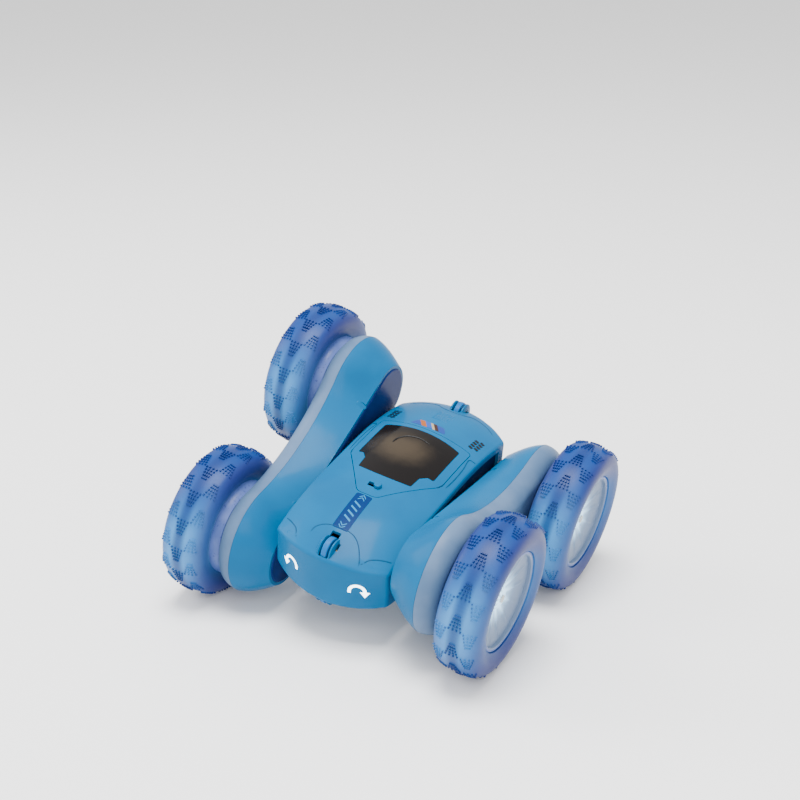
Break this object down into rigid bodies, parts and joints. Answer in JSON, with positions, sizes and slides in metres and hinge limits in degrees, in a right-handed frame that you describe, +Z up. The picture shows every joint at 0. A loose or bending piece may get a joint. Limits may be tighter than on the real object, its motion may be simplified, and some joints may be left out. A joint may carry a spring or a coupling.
{
  "type": "rc stunt car",
  "caption": "Double-sided stunt car: flat body on a crosswise pivot between two swinging side arms, each with lit, soft-tyred wheels driven by gears.",
  "frame": {"origin": "middle of the overall box, on the floor that the three wheels stand on", "axes": "+X to the car's left, -Y towards its nose, +Z up; the swing pivot runs crosswise, tilted 10.4 degrees down to the left"},
  "size_m": [0.1948, 0.179, 0.1359],
  "materials": {
    "tyre_blue": "soft, translucent, lit from inside",
    "hub_clear": "translucent, frosted",
    "gear_nylon": "natural nylon",
    "pinion_brass": "machined",
    "motor_steel": "plated can",
    "shell_clear": "translucent, gloss",
    "shell_blue": "gloss",
    "plate_navy": "gloss",
    "panel_dark": "fine texture",
    "collar_dark": "fine texture",
    "board_green": "solder mask",
    "screw_steel": "zinc and yellow passivated",
    "pin_brass": "bright",
    "roller_blue": "semi-gloss",
    "lens_smoked": "smoked, polished",
    "lamp_white": "frosted, lit",
    "button_dark": "fine texture",
    "battery_wrap": "shrink wrap",
    "tray_dark": "fine texture",
    "socket_dark": "smooth"
  },
  "bodies": {
    "body": {"arrow_lamps": "lamp_white", "battery_pack": "battery_wrap", "battery_tray": "tray_dark", "belly_windshield": "lens_smoked", "body_bottom_shell": "shell_blue", "body_screws": "screw_steel", "body_top_shell": "shell_blue", "charge_socket": "socket_dark", "left_side_plate": "panel_dark", "left_swing_motor": "motor_steel", "main_board": "board_green", "nose_light_board": "board_green", "right_side_plate": "panel_dark", "right_swing_motor": "motor_steel", "roller_pins": "pin_brass"},
    "hatch": {"hatch_cover": "shell_blue", "windshield": "lens_smoked"},
    "latch": {"hatch_latch": "shell_blue"},
    "switch_button": {"power_switch": "button_dark"},
    "left_arm": {"left_inner_plate": "plate_navy", "left_arm_shell": "shell_blue", "left_outer_shell": "shell_clear", "left_arm_screws": "screw_steel", "left_pivot_shaft": "collar_dark", "left_drive_motor": "motor_steel", "left_arm_light_board": "board_green"},
    "left_swing_pinion": {"left_swing_pinion": "pinion_brass"},
    "left_front_wheel": {"left_front_tyre": "tyre_blue", "left_front_hub": "hub_clear", "left_front_axle": "gear_nylon"},
    "left_rear_wheel": {"left_rear_tyre": "tyre_blue", "left_rear_hub": "hub_clear", "left_rear_axle": "gear_nylon"},
    "left_drive_pinion": {"left_drive_pinion": "pinion_brass"},
    "left_front_idler": {"left_front_idler": "gear_nylon"},
    "left_rear_idler": {"left_rear_idler": "gear_nylon"},
    "right_arm": {"right_inner_plate": "plate_navy", "right_arm_shell": "shell_blue", "right_outer_shell": "shell_clear", "right_arm_screws": "screw_steel", "right_pivot_shaft": "collar_dark", "right_drive_motor": "motor_steel", "right_arm_light_board": "board_green"},
    "right_swing_pinion": {"right_swing_pinion": "pinion_brass"},
    "right_front_wheel": {"right_front_tyre": "tyre_blue", "right_front_hub": "hub_clear", "right_front_axle": "gear_nylon"},
    "right_rear_wheel": {"right_rear_tyre": "tyre_blue", "right_rear_hub": "hub_clear", "right_rear_axle": "gear_nylon"},
    "right_drive_pinion": {"right_drive_pinion": "pinion_brass"},
    "right_front_idler": {"right_front_idler": "gear_nylon"},
    "right_rear_idler": {"right_rear_idler": "gear_nylon"},
    "nose_top_roller": {"nose_top_roller": "roller_blue"},
    "nose_bottom_roller": {"nose_bottom_roller": "roller_blue"},
    "tail_top_roller": {"tail_top_roller": "roller_blue"},
    "tail_bottom_roller": {"tail_bottom_roller": "roller_blue"}
  },
  "joints": [
    {"name": "left_arm_swing", "type": "hinge", "parent": "body", "child": "left_arm", "pos_m": [0.00259, 0, 0.05387], "axis": [0.9835, 0, -0.1809], "continuous": true},
    {"name": "left_swing_pinion_spin", "type": "hinge", "parent": "body", "child": "left_swing_pinion", "pos_m": [0.00183, -0.01904, 0.04972], "axis": [0.9835, 0, -0.1809], "continuous": true},
    {"name": "left_front_wheel_spin", "type": "hinge", "parent": "left_arm", "child": "left_front_wheel", "pos_m": [0.00259, -0.0495, 0.05387], "axis": [0.9835, 0, -0.1809], "continuous": true},
    {"name": "left_rear_wheel_spin", "type": "hinge", "parent": "left_arm", "child": "left_rear_wheel", "pos_m": [0.00259, 0.0495, 0.05387], "axis": [0.9835, 0, -0.1809], "continuous": true},
    {"name": "left_drive_pinion_spin", "type": "hinge", "parent": "left_arm", "child": "left_drive_pinion", "pos_m": [0.00259, 0, 0.05387], "axis": [0.9835, 0, -0.1809], "continuous": true},
    {"name": "left_front_idler_spin", "type": "hinge", "parent": "left_arm", "child": "left_front_idler", "pos_m": [0.00259, -0.018, 0.05387], "axis": [0.9835, 0, -0.1809], "continuous": true},
    {"name": "left_rear_idler_spin", "type": "hinge", "parent": "left_arm", "child": "left_rear_idler", "pos_m": [0.00259, 0.018, 0.05387], "axis": [0.9835, 0, -0.1809], "continuous": true},
    {"name": "right_arm_swing", "type": "hinge", "parent": "body", "child": "right_arm", "pos_m": [0.00259, 0, 0.05387], "axis": [0.9835, 0, -0.1809], "continuous": true},
    {"name": "right_swing_pinion_spin", "type": "hinge", "parent": "body", "child": "right_swing_pinion", "pos_m": [0.00183, -0.01904, 0.04972], "axis": [0.9835, 0, -0.1809], "continuous": true},
    {"name": "right_front_wheel_spin", "type": "hinge", "parent": "right_arm", "child": "right_front_wheel", "pos_m": [-0.00259, -0.04035, 0.02567], "axis": [0.9835, 0, -0.1809], "continuous": true},
    {"name": "right_rear_wheel_spin", "type": "hinge", "parent": "right_arm", "child": "right_rear_wheel", "pos_m": [0.00778, 0.04035, 0.08207], "axis": [0.9835, 0, -0.1809], "continuous": true},
    {"name": "right_drive_pinion_spin", "type": "hinge", "parent": "right_arm", "child": "right_drive_pinion", "pos_m": [0.00259, 0, 0.05387], "axis": [0.9835, 0, -0.1809], "continuous": true},
    {"name": "right_front_idler_spin", "type": "hinge", "parent": "right_arm", "child": "right_front_idler", "pos_m": [0.00071, -0.01467, 0.04361], "axis": [0.9835, 0, -0.1809], "continuous": true},
    {"name": "right_rear_idler_spin", "type": "hinge", "parent": "right_arm", "child": "right_rear_idler", "pos_m": [0.00448, 0.01467, 0.06412], "axis": [0.9835, 0, -0.1809], "continuous": true},
    {"name": "nose_top_roller_spin", "type": "hinge", "parent": "body", "child": "nose_top_roller", "pos_m": [0.00238, -0.06734, 0.05269], "axis": [0.9835, 0, -0.1809], "continuous": true},
    {"name": "nose_bottom_roller_spin", "type": "hinge", "parent": "body", "child": "nose_bottom_roller", "pos_m": [-0.00236, -0.06154, 0.02695], "axis": [0.9835, 0, -0.1809], "continuous": true},
    {"name": "tail_top_roller_spin", "type": "hinge", "parent": "body", "child": "tail_top_roller", "pos_m": [0.0073, 0.06235, 0.07945], "axis": [0.9835, 0, -0.1809], "continuous": true},
    {"name": "tail_bottom_roller_spin", "type": "hinge", "parent": "body", "child": "tail_bottom_roller", "pos_m": [0.0031, 0.0675, 0.0566], "axis": [0.9835, 0, -0.1809], "continuous": true},
    {"name": "hatch_lift", "type": "slide", "parent": "body", "child": "hatch", "axis": [0.1766, -0.2164, 0.9602], "range_m": [0, 0.04]},
    {"name": "latch_slide", "type": "slide", "parent": "hatch", "child": "latch", "axis": [-0.9835, 0, 0.1809], "range_m": [0, 0.004]},
    {"name": "power_switch_slide", "type": "slide", "parent": "body", "child": "switch_button", "axis": [0.9835, 0, -0.1809], "range_m": [0, 0.003]}
  ],
  "couplings": [
    {"joint": "left_swing_pinion_spin", "follows": "left_arm_swing", "ratio": -3.3333},
    {"joint": "left_rear_wheel_spin", "follows": "left_front_wheel_spin", "ratio": 1},
    {"joint": "left_drive_pinion_spin", "follows": "left_front_wheel_spin", "ratio": 4},
    {"joint": "left_front_idler_spin", "follows": "left_front_wheel_spin", "ratio": -1.3333},
    {"joint": "left_rear_idler_spin", "follows": "left_front_wheel_spin", "ratio": -1.3333},
    {"joint": "right_swing_pinion_spin", "follows": "right_arm_swing", "ratio": -3.3333},
    {"joint": "right_rear_wheel_spin", "follows": "right_front_wheel_spin", "ratio": 1},
    {"joint": "right_drive_pinion_spin", "follows": "right_front_wheel_spin", "ratio": 4},
    {"joint": "right_front_idler_spin", "follows": "right_front_wheel_spin", "ratio": -1.3333},
    {"joint": "right_rear_idler_spin", "follows": "right_front_wheel_spin", "ratio": -1.3333}
  ]
}
